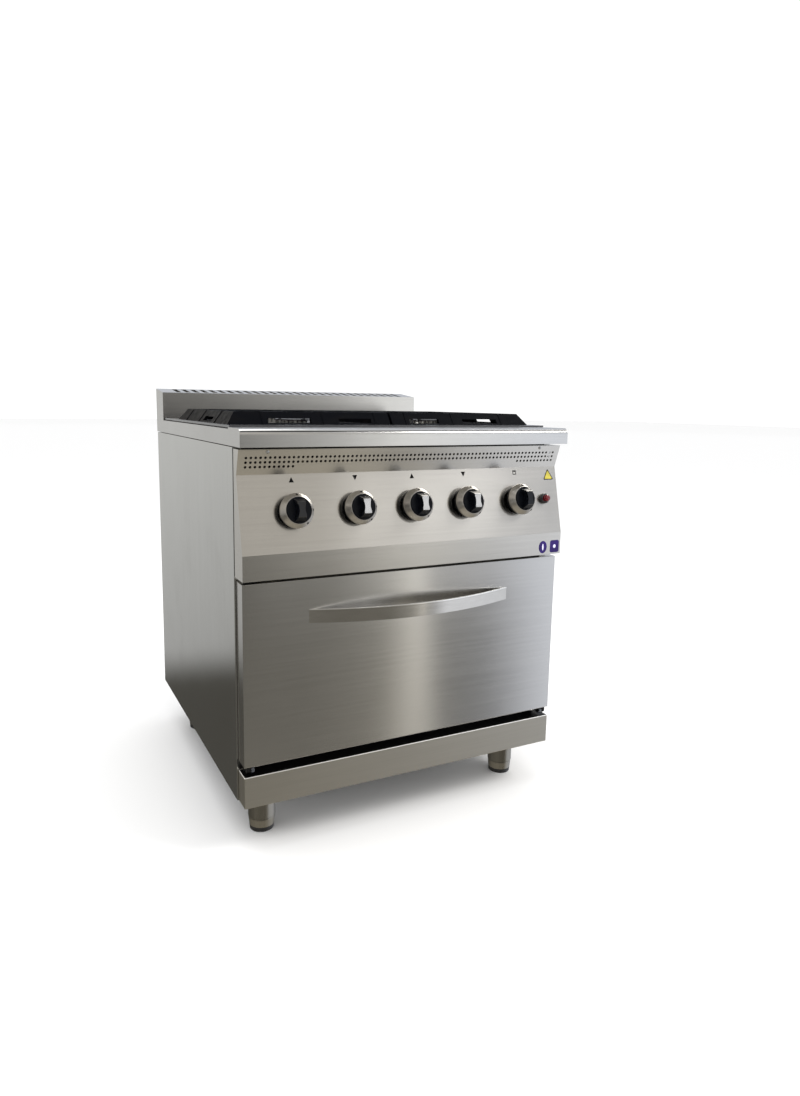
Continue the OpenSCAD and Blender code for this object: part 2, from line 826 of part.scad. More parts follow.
// Tube burner under the sole plate, fed from the right
module oven_burner() {
    color("darkgray") place() difference() {
        union() {
            pipe([[-150, 200, oven_tube_z], [-150, 600, oven_tube_z]], 12);
            pipe([[150, 200, oven_tube_z], [150, 600, oven_tube_z]], 12);
            pipe([[-150, 200, oven_tube_z], [-150, oven_tube_y, oven_tube_z], [oven_feed_x - 6, oven_tube_y, oven_tube_z]], 12);
            pipe([[150, 200, oven_tube_z], [150, oven_tube_y, oven_tube_z]], 12);
            for (x = [-150, 150], y = [210, 590]) block([x - 8, x + 8], [y - 3, y + 3], [cavity_z[0], oven_tube_z]);
        }
        for (x = [-150, 150], i = [0 : 17]) block([x - 20, x + 20], [225 + i * 20, 227 + i * 20],
            [oven_tube_z + 7, oven_tube_z + 13]);
    }
}

// Wire shelf: a frame with wires from front to back
module oven_shelf() {
    x = cavity_half - 14;
    y = [90, 685];
    wire_r = 2.5;
    frame_r = 4;
    z = shelf_z;
    color("silver") place() {
        pipe([[-x, y[0], z], [-x, y[1], z], [x, y[1], z], [x, y[0], z], [-x, y[0], z], [-x, y[1], z]], frame_r);
        for (i = [-6 : 6]) rod([i * 42, y[0] - 2, z + 5], [i * 42, y[1] + 2, z + 5], wire_r);
        for (ry = [240, 390, 540]) rod([-x, ry, z], [x, ry, z], frame_r - 0.8);
    }
}

// Two wire racks that carry the shelf at any of three heights
module shelf_rails() {
    x = cavity_half - 4.8;
    inner = cavity_half - 10;
    post_y = [130, 640];
    color("silver") place() both_sides() {
        for (y = post_y) rod([x, y, 270], [x, y, 540], 4);
        for (z = [shelf_z - 90, shelf_z - 8, shelf_z + 80])
            rod([inner, 84, z], [inner, 690, z], 4);
    }
}

// ---- Door ----

// Seal round the mouth of the oven
module door_gasket() {
    out = 18;
    w = 8;
    x = cavity_half + out;
    z = [cavity_z[0] - 14, cavity_z[1] + out];
    color("#2f3030") place() difference() {
        block([-x, x], [door_y + door_thickness + gap, frame_y], z);
        block([-x + w, x - w], [door_y, frame_y + 1], [z[0] + w, z[1] - w]);
    }
}

module door_skin() {
    color("silver") place() front_tray(door_y, door_z, door_y + door_thickness - sheet, sheet);
}

// Back of the door with a raised panel that sits in the oven's mouth
module door_liner() {
    back = door_y + door_thickness;
    plug_x = cavity_half - 12;
    plug_z = [cavity_z[0] + 28, cavity_z[1] - 12];
    plug_y = back + 12;
    color("gray") place() difference() {
        union() {
            block([-front_half, front_half], [back - sheet, back], door_z);
            block([-plug_x, plug_x], [back - 1, plug_y], plug_z);
        }
        block([-plug_x + sheet, plug_x - sheet], [back - sheet - 1, plug_y - sheet],
            [plug_z[0] + sheet, plug_z[1] - sheet]);
    }
}

module door_insulation() {
    inset = sheet + gap;
    color("khaki") place() block([-front_half + inset, front_half - inset],
        [door_y + inset, door_y + door_thickness - inset], [door_z[0] + inset, door_z[1] - inset]);
}

// Flat bar bowed out from the door, its ends cut flush with the skin
module door_handle() {
    chord = handle_length / 2;
    bow_r = (chord * chord + handle_reach * handle_reach) / (2 * handle_reach);
    color("silver") place() intersection() {
        translate([0, front_y + bow_r, handle_z - handle_height / 2]) difference() {
            cylinder(h = handle_height, r = bow_r, $fn = 360);
            translate([0, 0, -1]) cylinder(h = handle_height + 2, r = bow_r - handle_bar, $fn = 360);
        }
        block([-half, half], [front_y - 5, door_y], [handle_z - handle_height, handle_z + handle_height]);
    }
}

// Pivots under the door: a knuckle and the pin that turns in the frame's ear
module door_hinges() {
    knuckle = [ear_x[1] + gap, ear_x[1] + 10];
    color("dimgray") place() both_sides() {
        translate([ear_x[0] - 2, hinge[0], hinge[1]]) rotate([0, 90, 0])
            cylinder(h = knuckle[1] - ear_x[0] + 2, r = pin_r, $fn = 48);
        translate([knuckle[0], hinge[0], hinge[1]]) rotate([0, 90, 0])
            cylinder(h = knuckle[1] - knuckle[0], r = 7, $fn = 48);
        block(knuckle, [hinge[0] - 7, hinge[0] + 7], [hinge[1], door_z[0]]);
    }
}

// ---- Fasteners ----

module screw_head(r) {
    difference() {
        rotate_extrude($fn = 32) polygon([[0, 0], [r, 0], [r, r * 0.25], [r * 0.6, r * 0.55], [0, r * 0.6]]);
        for (a = [0, 90]) rotate([0, 0, a]) translate([-r * 0.55, -r * 0.1, r * 0.35]) cube([r * 1.1, r * 0.2, r]);
    }
}

module panel_screws() {
    color("gainsboro") place() {
        for (side = [-1, 1]) on_strip(side * 337, 6) screw_head(3.5);
        for (x = [-360, -120, 120, 360], z = [135, 840])
            translate([x, back_y + sheet, z]) rotate([-90, 0, 0]) screw_head(4);
        for (x = [-380, 380], z = [320, 500])
            translate([x, back_y + sheet, z]) rotate([-90, 0, 0]) screw_head(4);
    }
}

side_panel_left();
side_panel_right();
back_panel();
base_pan();
plinth_panel();
control_panel();
hob_top();
drip_tray();
flue_housing();
flue_duct();
leg_sleeves();
foot_front_left();
foot_front_right();
foot_rear_left();
foot_rear_right();
trivet_left();
trivet_right();
crown_front_left();
crown_rear_left();
crown_front_right();
crown_rear_right();
cap_front_left();
cap_rear_left();
cap_front_right();
cap_rear_right();
mixing_tubes();
burner_supports();
knob_1();
knob_2();
knob_3();
knob_4();
knob_oven();
ring_1();
ring_2();
ring_3();
ring_4();
ring_oven();
spindle_1();
spindle_2();
spindle_3();
spindle_4();
spindle_oven();
hob_taps();
oven_thermostat();
gas_rail();
igniter_button();
igniter_body();
oven_liner();
oven_insulation();
sole_plate();
oven_burner();
oven_shelf();
shelf_rails();
door_gasket();
door_skin();
door_liner();
door_insulation();
door_handle();
door_hinges();
panel_screws();
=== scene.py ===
"""Looks of the commercial gas range: finishes, printed marks, small fittings, light and camera."""

import json
from math import cos, pi, radians, sin

import bpy
from mathutils import Matrix, Vector


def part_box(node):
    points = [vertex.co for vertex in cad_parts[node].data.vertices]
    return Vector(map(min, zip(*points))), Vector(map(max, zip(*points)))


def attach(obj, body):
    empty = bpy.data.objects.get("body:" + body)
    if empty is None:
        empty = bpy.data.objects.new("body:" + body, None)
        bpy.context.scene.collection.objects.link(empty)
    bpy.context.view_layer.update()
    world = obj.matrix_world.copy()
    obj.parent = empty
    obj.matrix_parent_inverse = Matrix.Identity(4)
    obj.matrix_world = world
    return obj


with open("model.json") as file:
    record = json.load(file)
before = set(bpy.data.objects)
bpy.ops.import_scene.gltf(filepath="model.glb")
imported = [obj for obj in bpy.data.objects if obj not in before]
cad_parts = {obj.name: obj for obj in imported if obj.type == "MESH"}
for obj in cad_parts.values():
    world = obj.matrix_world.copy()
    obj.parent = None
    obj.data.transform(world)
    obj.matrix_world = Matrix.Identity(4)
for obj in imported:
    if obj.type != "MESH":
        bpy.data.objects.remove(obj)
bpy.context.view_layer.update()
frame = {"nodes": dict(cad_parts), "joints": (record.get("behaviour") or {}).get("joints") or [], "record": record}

NODES = frame["nodes"]
JOINTS = {joint["name"]: joint for joint in frame["joints"]}
KNOBS = ("1", "2", "3", "4", "oven")
BURNERS = ("front_left", "rear_left", "front_right", "rear_right")
MM = 0.001
# The knobs' axes are parallel and stand on one line across the panel
KNOB_AXIS = Vector(JOINTS["turn_1"]["axis"]).normalized()
KNOB_LINE = Vector(JOINTS["turn_1"]["pos_m"])
# Height of a grip's polished front above that line
GRIP_FACE = 50 * MM


# ---- Materials ----

class Graph:
    """The nodes of one material, with the steps that the finishes share."""

    def __init__(self, name, material=None):
        self.material = material or bpy.data.materials.new(name)
        self.material.use_nodes = True
        self.tree = self.material.node_tree
        self.shader = self.tree.nodes["Principled BSDF"]
        self.place = self.node("TexCoord").outputs["Object"]

    def node(self, kind, inputs=None, **settings):
        made = self.tree.nodes.new("ShaderNode" + kind)
        for name, value in settings.items():
            setattr(made, name, value)
        for name, value in (inputs or {}).items():
            self.feed(made.inputs[name], value)
        return made

    def feed(self, socket, value):
        if isinstance(value, bpy.types.NodeSocket):
            self.tree.links.new(value, socket)
        else:
            socket.default_value = value

    def set(self, **values):
        for name, value in values.items():
            self.feed(self.shader.inputs[name.replace("_", " ")], value)

    def noise(self, scale, detail=3.0, roughness=0.5):
        """Noise with this frequency, per metre; three numbers give each axis its own."""
        scale = scale if isinstance(scale, tuple) else (scale,) * 3
        mapped = self.node("Mapping", {"Vector": self.place, "Scale": scale})
        inputs = {"Vector": mapped.outputs[0], "Scale": 1.0, "Detail": detail, "Roughness": roughness}
        return self.node("TexNoise", inputs).outputs[0]

    def cells(self, scale, output):
        return self.node("TexVoronoi", {"Vector": self.place, "Scale": scale}).outputs[output]

    def span(self, value, low, high, start=0.0, end=1.0, **settings):
        """value, taken from start..end to low..high."""
        inputs = {"Value": value, "From Min": start, "From Max": end, "To Min": low, "To Max": high}
        return self.node("MapRange", inputs, **settings).outputs[0]

    def calc(self, operation, a, b=0.0):
        made = self.node("Math", operation=operation)
        self.feed(made.inputs[0], a)
        self.feed(made.inputs[1], b)
        return made.outputs[0]

    def blend(self, factor, a, b):
        """Colour a where factor is 0 and b where it is 1."""
        made = self.node("Mix", data_type="RGBA")
        self.feed(made.inputs[0], factor)
        self.feed(made.inputs[6], a)
        self.feed(made.inputs[7], b)
        return made.outputs[2]

    def split(self, vector):
        """The three parts of a vector."""
        return self.node("SeparateXYZ", {"Vector": vector}).outputs

    def above(self, height):
        """1 where the surface is higher than this, else 0."""
        return self.calc("GREATER_THAN", self.split(self.place)["Z"], height)

    def bump(self, height, strength, distance):
        inputs = {"Height": height, "Strength": strength, "Distance": distance}
        self.set(Normal=self.node("Bump", inputs).outputs[0])

    def smear(self, direction):
        """Highlights stretch along this direction of the object."""
        constant = self.node("CombineXYZ", dict(zip("XYZ", direction)))
        turned = self.node("VectorTransform", {"Vector": constant.outputs[0]},
                           vector_type="VECTOR", convert_from="OBJECT", convert_to="WORLD")
        self.set(Tangent=turned.outputs[0])


def tint(colour, factor):
    return tuple(min(1.0, c * factor) for c in colour[:3]) + (1.0,)


def brushed(name, colour, along, across, roughness=0.27, anisotropic=0.8, streaks=0.05, dirt=0.025):
    """Stainless sheet polished along one axis; across is the way its highlights stretch."""
    g = Graph(name)

    def grain(fine, coarse):
        return tuple(coarse if axis == along else fine for axis in "XYZ")

    hair = g.noise(grain(1500.0, 12.0), 2.0)
    streak = g.noise(grain(160.0, 2.5), 4.0)
    smudge = g.noise(7.0, 5.0, 0.6)
    tone = g.calc("ADD", g.span(streak, -0.5, 0.5, 0.3, 0.7), g.span(hair, -0.5, 0.5, 0.3, 0.7))
    colour = g.blend(g.span(tone, 0.0, 1.0, -1.0, 1.0), tint(colour, 1 - streaks), tint(colour, 1 + streaks))
    stained = g.blend(g.span(smudge, 0.0, dirt * 3, 0.55, 0.8), colour, (0.33, 0.3, 0.26, 1.0))
    worn = g.calc("ADD", g.span(streak, -0.004, 0.004, 0.3, 0.7), g.span(smudge, -dirt, dirt, 0.25, 0.75))
    g.set(Base_Color=stained, Metallic=1.0, Roughness=g.calc("ADD", worn, roughness), Anisotropic=anisotropic)
    g.bump(hair, 0.012, 0.0002)
    g.smear(across)
    return g.material


def painted_edge_highlight(material, top, depth, face=None):
    """Paints a highlight along the upper edge over this depth; the face on top may be given its own colour, which on
    the plinth is painted shade.
    """
    g = Graph(material.name, material)
    colour = g.shader.inputs["Base Color"].links[0].from_socket
    # Painted highlight: a near-white band along the upper edge stands in for the light the edge catches
    colour = g.blend(g.above(top - depth), colour, (0.98, 0.97, 0.94, 1.0))
    if face:
        # The colour given to the top face is painted shade on the plinth
        colour = g.blend(g.above(top - 0.1 * MM), colour, face)
    g.set(Base_Color=colour)


def galvanised(name, colour):
    g = Graph(name)
    spangle = g.split(g.cells(90.0, "Color"))["X"]
    g.set(Base_Color=g.blend(spangle, tint(colour, 0.82), tint(colour, 1.08)), Metallic=1.0)
    g.set(Roughness=g.span(spangle, 0.34, 0.52))
    g.bump(g.noise(500.0), 0.08, 0.0003)
    return g.material


def leg_steel(name, colour):
    """Brushed tube; the foot's lowest millimetres are a black plastic ring."""
    g = Graph(name)
    streak = g.noise((220.0, 220.0, 6.0), 4.0)
    ring = g.calc("LESS_THAN", g.split(g.place)["Z"], 11 * MM)
    steel = g.blend(streak, tint(colour, 0.85), tint(colour, 1.1))
    g.set(Base_Color=g.blend(ring, steel, (0.012, 0.012, 0.013, 1.0)))
    g.set(Metallic=g.calc("SUBTRACT", 1.0, ring))
    g.set(Roughness=g.calc("ADD", g.span(streak, 0.22, 0.36), g.calc("MULTIPLY", ring, 0.2)))
    g.bump(streak, 0.05, 0.0002)
    return g.material


def cast_iron(name, colour):
    """Black enamelled casting: satin skin over a grainy surface, browned where it gets hot."""
    g = Graph(name)
    grain = g.noise(900.0, 4.0)
    lumps = g.noise(70.0)
    burnt = g.noise((16.0, 16.0, 40.0), 4.0)
    skin = g.blend(g.span(burnt, 0.0, 0.55, 0.5, 0.75), tint(colour, 0.75), (0.005, 0.0045, 0.0043, 1.0))
    g.set(Base_Color=skin, Roughness=g.span(lumps, 0.34, 0.5, 0.3, 0.7), Specular_IOR_Level=0.03)
    g.bump(g.calc("ADD", grain, g.calc("MULTIPLY", lumps, 2.0)), 0.22, 0.0007)
    return g.material


def raw_casting(name, colour):
    g = Graph(name)
    grain = g.noise(700.0, 5.0)
    scale = g.noise(40.0, 4.0)
    g.set(Base_Color=g.blend(g.span(scale, 0.0, 0.8, 0.4, 0.7), tint(colour, 1.0), (0.16, 0.105, 0.07, 1.0)))
    g.set(Metallic=g.span(scale, 0.75, 0.2, 0.4, 0.7), Roughness=g.span(grain, 0.5, 0.72))
    g.bump(grain, 0.35, 0.0006)
    return g.material


def machined(name, colour, roughness):
    """Light alloy with fine turning marks and a little heat haze."""
    g = Graph(name)
    marks = g.noise(900.0)
    haze = g.noise(28.0)
    g.set(Base_Color=g.blend(g.span(haze, 0.0, 0.7, 0.45, 0.75), tint(colour, 1.05), tint(colour, 0.72)))
    g.set(Metallic=1.0, Roughness=g.span(marks, roughness - 0.05, roughness + 0.07, 0.3, 0.7))
    g.bump(marks, 0.08, 0.0003)
    return g.material


def enamel(name, colour, speckle):
    """Vitreous enamel with pale specks."""
    g = Graph(name)
    specks = g.calc("LESS_THAN", g.cells(260.0, "Distance"), 0.16)
    wave = g.noise(30.0)
    base = g.blend(wave, tint(colour, 0.8), tint(colour, 1.25))
    g.set(Base_Color=g.blend(g.calc("MULTIPLY", specks, speckle), base, (0.42, 0.45, 0.5, 1.0)))
    g.set(Roughness=g.span(wave, 0.16, 0.3), Coat_Weight=0.4, Coat_Roughness=0.12)
    g.bump(wave, 0.12, 0.0008)
    return g.material


def moulded(name, colour):
    """Finely grained plastic, and the noise that says where hands have rubbed it paler."""
    g = Graph(name)
    rubbed = g.noise(55.0, 4.0)
    g.set(Base_Color=g.blend(g.span(rubbed, 0.0, 1.0, 0.4, 0.7), tint(colour, 1.0), tint(colour, 1.6)))
    g.bump(g.noise(1400.0, 2.0), 0.02, 0.0002)
    return g, rubbed


def plastic(name, colour, roughness, coat=0.0, shine=0.7):
    g, rubbed = moulded(name, colour)
    g.set(Roughness=g.span(rubbed, roughness * 0.8, roughness * 1.3, 0.3, 0.7))
    g.set(Coat_Weight=coat, Coat_Roughness=0.06, Specular_IOR_Level=shine)
    return g.material


def knob_plastic(name, colour):
    """Black plastic: moulded matt, with a polished face on the front of the grip."""
    g, rubbed = moulded(name, colour)
    height = g.node("VectorMath", {"Vector": g.place}, operation="DOT_PRODUCT")
    height.inputs[1].default_value = KNOB_AXIS
    polished = g.calc("GREATER_THAN", height.outputs["Value"], KNOB_AXIS.dot(KNOB_LINE) + GRIP_FACE)
    matt = g.span(rubbed, 0.26, 0.36, 0.3, 0.7)
    gloss = g.calc("MULTIPLY", polished, g.calc("SUBTRACT", matt, 0.05))
    g.set(Roughness=g.calc("SUBTRACT", matt, gloss), Specular_IOR_Level=g.span(polished, 0.12, 0.7))
    return g.material


def brass(name, colour):
    g = Graph(name)
    tarnish = g.noise(60.0, 5.0)
    g.set(Base_Color=g.blend(g.span(tarnish, 0.0, 0.7, 0.45, 0.75), tint(colour, 1.1), (0.32, 0.2, 0.09, 1.0)))
    g.set(Metallic=1.0, Roughness=g.span(tarnish, 0.2, 0.42))
    g.bump(g.noise(1200.0), 0.05, 0.0002)
    return g.material


def mineral_wool(name, colour):
    g = Graph(name)
    fibres = g.noise((260.0, 60.0, 900.0), 6.0, 0.7)
    clumps = g.noise((25.0, 25.0, 50.0), 4.0)
    shade = g.calc("MULTIPLY", fibres, clumps)
    g.set(Base_Color=g.blend(g.span(shade, 0.0, 1.0, 0.1, 0.45), tint(colour, 0.55), tint(colour, 1.15)))
    g.set(Roughness=0.95, Sheen_Weight=0.3)
    g.bump(fibres, 0.9, 0.003)
    return g.material


def chrome_wire(name, colour):
    g = Graph(name)
    haze = g.noise(45.0, 4.0)
    g.set(Base_Color=g.blend(g.span(haze, 0.0, 0.6, 0.5, 0.8), tint(colour, 1.05), (0.5, 0.42, 0.33, 1.0)))
    g.set(Metallic=1.0, Roughness=g.span(haze, 0.1, 0.28))
    return g.material


def woven_seal(name, colour):
    """Glass-fibre rope seal: a small diagonal weave."""
    g = Graph(name)
    weave = g.node("TexWave", {"Vector": g.place, "Scale": 130.0, "Distortion": 2.0}, bands_direction="DIAGONAL")
    threads = weave.outputs["Fac"]
    g.set(Base_Color=g.blend(threads, tint(colour, 0.6), tint(colour, 1.6)), Roughness=0.8, Sheen_Weight=0.2)
    g.bump(threads, 0.6, 0.001)
    return g.material


def yellow_pipe(name, colour):
    g = Graph(name)
    patches = g.noise(50.0, 4.0)
    g.set(Base_Color=g.blend(patches, tint(colour, 0.8), tint(colour, 1.15)), Metallic=0.85)
    g.set(Roughness=g.span(patches, 0.25, 0.42))
    g.bump(g.noise(600.0), 0.06, 0.0003)
    return g.material


# Ways in which the highlights of brushed sheet stretch
FRONT = (0.0, 0.7, 0.7)
SIDE = (0.0, 1.0, 0.0)
UP = (0.0, 0.0, 1.0)
# The record's slots, then the finishes that only this script uses
FINISHES = {
    "cabinet_steel": (brushed, (0.62, 0.62, 0.6), "Z", SIDE, 0.16, 0.7),
    "galvanised": (galvanised, (0.55, 0.56, 0.57)),
    "panel_steel": (brushed, (0.63, 0.61, 0.57), "X", FRONT, 0.22, 0.6),
    "hob_steel": (brushed, (0.62, 0.615, 0.6), "X", FRONT, 0.22, 0.6),
    "tray_steel": (enamel, (0.045, 0.046, 0.05), 0.35),
    "leg_steel": (leg_steel, (0.3, 0.285, 0.25)),
    "cast_iron": (cast_iron, (0.0025, 0.003, 0.0048)),
    "burner_metal": (machined, (0.8, 0.79, 0.76), 0.3),
    "burner_cap": (enamel, (0.018, 0.018, 0.02), 0.1),
    "cast_grey": (raw_casting, (0.22, 0.22, 0.22)),
    "knob_black": (knob_plastic, (0.002, 0.0025, 0.004)),
    "ring_satin": (machined, (0.46, 0.44, 0.41), 0.3),
    "brass": (brass, (0.72, 0.52, 0.24)),
    "gas_pipe": (yellow_pipe, (0.55, 0.47, 0.28)),
    "button_red": (plastic, (0.1, 0.002, 0.006), 0.14, 0.3),
    "igniter_black": (plastic, (0.012, 0.012, 0.014), 0.4),
    "oven_enamel": (enamel, (0.04, 0.044, 0.052), 0.8),
    "wool": (mineral_wool, (0.62, 0.56, 0.36)),
    "wire_chrome": (chrome_wire, (0.72, 0.72, 0.72)),
    "gasket_black": (woven_seal, (0.03, 0.03, 0.032)),
    "door_steel": (brushed, (0.62, 0.61, 0.59), "X", FRONT, 0.14, 1.0, 0.03, 0.01),
    "liner_steel": (brushed, (0.5, 0.5, 0.49), "X", FRONT, 0.35),
    "handle_steel": (brushed, (0.62, 0.6, 0.56), "X", UP, 0.22),
    # Painted shade: the hinges made near-black, standing in for the shadow in the gap under the door
    "hinge_steel": (machined, (0.03, 0.03, 0.031), 0.55),
    "screw_steel": (machined, (0.55, 0.56, 0.57), 0.3),
    # Painted shade: the base pan made near-black, standing in for the shadow in the gap under the door
    "base_black": (enamel, (0.008, 0.008, 0.009), 0.0),
    # Painted shade: a darker, warmer copy of the brushed steel for the plinth
    "plinth_steel": (brushed, (0.44, 0.42, 0.375), "X", FRONT, 0.42, 0.4),
    "ink": (plastic, (0.002, 0.002, 0.002), 0.6, 0.0, 0.1),
    "label_yellow": (plastic, (0.42, 0.36, 0.06), 0.5, 0.0, 0.2),
    "label_purple": (plastic, (0.02, 0.01, 0.09), 0.5, 0.0, 0.2),
    "label_pale": (plastic, (0.5, 0.49, 0.62), 0.5, 0.0, 0.2),
    "ceramic": (plastic, (0.75, 0.73, 0.68), 0.3),
}
materials = {name: finish(name, *values) for name, (finish, *values) in FINISHES.items()}
# Painted highlight along the plinth's top edge, and painted shade on its top face under the door
painted_edge_highlight(materials["plinth_steel"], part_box("plinth_panel")[1].z, 1.8 * MM, (0.02, 0.019, 0.017, 1.0))
# Painted highlight along the handle's top edge
painted_edge_highlight(materials["handle_steel"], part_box("door_handle")[1].z, 1.2 * MM)

for part in frame["record"]["subparts"]:
    node = NODES[part["node"]]
    node.data.materials.clear()
    node.data.materials.append(materials[part["material_slot"]])
# Two pieces take painted shade in place of their slot's finish: the plinth a darker copy of the brushed steel, the
# base pan near-black
NODES["plinth_panel"].data.materials[0] = materials["plinth_steel"]
NODES["base_pan"].data.materials[0] = materials["base_black"]


# ---- Edges of the CAD pieces ----

def soften(name, width, segments=2):
    """Rounds a piece's folds and cut edges."""
    modifiers = NODES[name].modifiers
    weld = modifiers.new("weld", "WELD")
    weld.merge_threshold = 1e-5
    flat = modifiers.new("flat", "DECIMATE")
    flat.decimate_type = "DISSOLVE"
    flat.angle_limit = radians(1)
    edge = modifiers.new("edge", "BEVEL")
    edge.width = width
    edge.segments = segments
    edge.limit_method = "ANGLE"
    edge.angle_limit = radians(32)
    even = modifiers.new("even", "WEIGHTED_NORMAL")
    even.keep_sharp = True


SOFT_EDGES = {
    1.5 * MM: ["plinth_panel"],
    0.6 * MM: ["side_panel_left", "side_panel_right", "back_panel",
               "hob_top", "leg_sleeves", "door_skin", "door_liner", "igniter_body"],
    0.9 * MM: ["knob_" + k for k in KNOBS],
    0.4 * MM: ["ring_" + k for k in KNOBS] + ["crown_" + b for b in BURNERS] + ["cap_" + b for b in BURNERS],
}
for width, names in SOFT_EDGES.items():
    for name in names:
        soften(name, width)


# ---- Small fittings and printed marks ----

def piece(name, vertices, faces, body, material):
    mesh = bpy.data.meshes.new(name)
    mesh.from_pydata([tuple(v) for v in vertices], [], faces)
    mesh.update()
    mesh.materials.append(materials[material])
    made = bpy.data.objects.new(name, mesh)
    bpy.context.scene.collection.objects.link(made)
    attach(made, body)
    return made


def plate(name, outline, thickness, place, material="ink", body="cabinet"):
    """A thin mark: its outline lies in the plane of place, which takes it into the range."""
    count = len(outline)
    vertices = [place @ Vector((x, y, z)) for z in (0.0, thickness) for x, y in outline]
    faces = [list(reversed(range(count))), list(range(count, 2 * count))]
    for i in range(count):
        j = (i + 1) % count
        faces.append([i, j, count + j, count + i])
    piece(name, vertices, faces, body, material)


def lathe(name, profile, place, body, material, steps):
    """A turned piece: profile is radius and height in mm, from the axis at the bottom to the axis at the top."""
    vertices, rings = [], []
    for radius, height in profile:
        radius, height = radius * MM, height * MM
        around = 1 if radius == 0 else steps
        rings.append(range(len(vertices), len(vertices) + around))
        for i in range(around):
            angle = 2 * pi * i / steps
            vertices.append(place @ Vector((radius * cos(angle), radius * sin(angle), height)))
    faces = []
    for low, high in zip(rings, rings[1:]):
        for i in range(steps):
            j = (i + 1) % steps
            corner = [low[i % len(low)], low[j % len(low)], high[j % len(high)], high[i % len(high)]]
            faces.append(list(dict.fromkeys(corner)))
    made = piece(name, vertices, faces, body, material)
    made.data.shade_smooth()
    made.modifiers.new("split", "EDGE_SPLIT").split_angle = radians(40)


def rounded(corners, radius, steps=5):
    """A convex outline, counter-clockwise, with its corners rounded."""
    outline = []
    for i, corner in enumerate(corners):
        here = Vector(corner)
        back = (Vector(corners[i - 1]) - here).normalized()
        on = (Vector(corners[(i + 1) % len(corners)]) - here).normalized()
        half = back.angle(on) / 2
        reach = radius / (sin(half) / cos(half))
        centre = here + (back + on).normalized() * (radius / sin(half))
        start = here + back * reach - centre
        end = here + on * reach - centre
        for step in range(steps + 1):
            turned = start.lerp(end, step / steps).normalized() * radius
            outline.append(tuple(centre + turned))
    return outline


def oval(half_width, half_height, steps=40):
    return [(half_width * cos(2 * pi * i / steps), half_height * sin(2 * pi * i / steps)) for i in range(steps)]


def frame_at(origin, out, up):
    """A place whose z points out of a face and whose y points up it."""
    right = up.cross(out)
    place = Matrix((right, up, out)).transposed().to_4x4()
    place.translation = origin
    return place


def on_panel(x, rise, out=0.0):
    """A place on the knob face, rise above the line of the knob axes."""
    up = KNOB_AXIS.cross(Vector((1.0, 0.0, 0.0)))
    origin = Vector((x, KNOB_LINE.y, KNOB_LINE.z)) + up * rise + KNOB_AXIS * out
    return frame_at(origin, KNOB_AXIS, up)


def knob_middle(k):
    low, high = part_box("ring_" + k)
    return (low.x + high.x) / 2


def panel_marks():
    """Burner marks above the knobs: a plain triangle towards the rear or front burner, a square for the oven."""
    thick, rise = 0.12 * MM, 65.5 * MM
    side = 5.6 * MM
    upward = rounded([(-side, -side), (side, -side), (0, side)], 0.4 * MM)
    downward = [(-x, -y) for x, y in upward]
    for k, outline in zip(KNOBS, (upward, downward, upward, downward)):
        plate("mark_" + k, outline, thick, on_panel(knob_middle(k), rise))
    half, bar = 5 * MM, 1.6 * MM
    bars = {
        "left": ((-half, -half), (-half + bar, half)),
        "right": ((half - bar, -half), (half, half)),
        "bottom": ((-half + bar, -half), (half - bar, -half + bar)),
        "top": ((-half + bar, half - 2 * bar), (half - bar, half)),
    }
    for name, (low, high) in bars.items():
        outline = [low, (high[0], low[1]), high, (low[0], high[1])]
        plate("mark_oven_" + name, outline, thick, on_panel(knob_middle("oven"), rise))


def stickers():
    """Plain coloured labels where the range carries its stickers."""
    thick = 0.15 * MM
    half, tall = 15 * MM, 27 * MM
    triangle = rounded([(-half, -tall / 2), (half, -tall / 2), (0, tall / 2)], 2 * MM)
    for name, scale, lift, material in (("edge", 1.0, 0.0, "ink"), ("face", 0.78, thick, "label_yellow")):
        outline = [(x * scale, y * scale - (1 - scale) * tall / 6) for x, y in triangle]
        plate("label_triangle_" + name, outline, thick, on_panel(374 * MM, 59 * MM, lift), material)
    half, tall = 13.5 * MM, 15 * MM
    square = rounded([(-half, -tall), (half, -tall), (half, tall), (-half, tall)], 5 * MM)
    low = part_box("control_panel")[0]
    for name, x, outline, spot in (("oval", 344, oval(12 * MM, 15 * MM), oval(2.2 * MM, 8 * MM)),
                                   ("square", 379, square, oval(4 * MM, 4.6 * MM))):
        for part, shape, out, material in (("", outline, 0.0, "label_purple"), ("_spot", spot, thick, "label_pale")):
            origin = Vector((x * MM, low.y - out, low.z + 19 * MM))
            place = frame_at(origin, Vector((0.0, -1.0, 0.0)), Vector((0.0, 0.0, 1.0)))
            plate("label_" + name + part, shape, thick, place, material)


def ring_marks():
    """Small dark marks on each knob's ring: off, full and low."""
    radius, out = 32.6 * MM, 26.4 * MM
    for k in KNOBS:
        base = on_panel(knob_middle(k), 0.0)
        for name, degrees, half in (("off", 90, 2.1), ("full", 0, 2.3), ("low", -55, 2.1)):
            angle = radians(degrees)
            spoke = base.to_3x3() @ Vector((cos(angle), sin(angle), 0.0))
            # The ring's shoulder leans back from its front
            face = (spoke * 0.84 + KNOB_AXIS * 0.54).normalized()
            along = KNOB_AXIS.cross(spoke).normalized()
            origin = base.translation + spoke * radius + KNOB_AXIS * out
            outline = oval(half * MM, half * 1.5 * MM, 16)
            place = frame_at(origin, face, along.cross(face))
            plate("ring_mark_%s_%s" % (k, name), outline, 0.5 * MM, place, body="knob_" + k)


